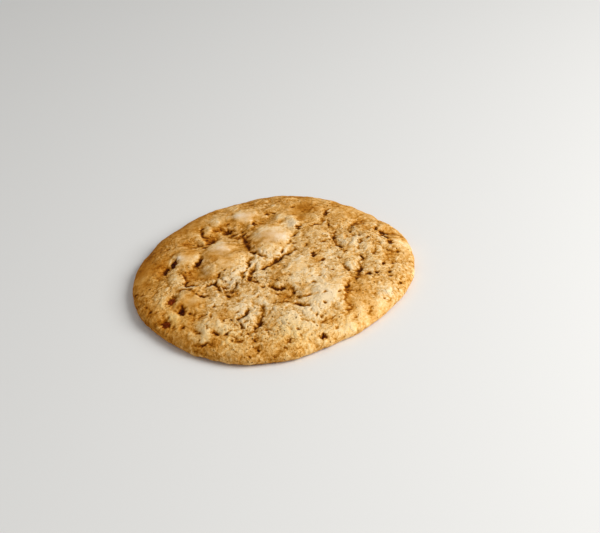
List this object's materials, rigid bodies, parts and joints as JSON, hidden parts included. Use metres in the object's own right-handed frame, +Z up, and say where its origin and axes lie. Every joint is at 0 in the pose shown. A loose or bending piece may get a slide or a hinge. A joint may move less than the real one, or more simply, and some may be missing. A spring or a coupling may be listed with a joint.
{
  "type": "oatmeal raisin cookie",
  "caption": "Round baked oatmeal cookie with a low cracked dome, a wavy rounded edge, a flat underside and raisins that show through the crust.",
  "frame": {"origin": "middle of the flat underside, on the surface the cookie lies on", "axes": "+Z up through the cookie's thickness, -Y towards the side seen from the front, +X to the right"},
  "size_m": [0.1159, 0.116, 0.0114],
  "materials": {
    "crust": "matt, rough and porous baked crust, pale tan on the lumps and golden brown in the cracks and at the edge",
    "raisin": "wrinkled dark purple-brown skin with a soft shine"
  },
  "bodies": {
    "root": {"cookie": "crust", "raisin_1": "raisin", "raisin_2": "raisin", "raisin_3": "raisin", "raisin_4": "raisin", "raisin_5": "raisin", "raisin_6": "raisin"}
  },
  "joints": []
}
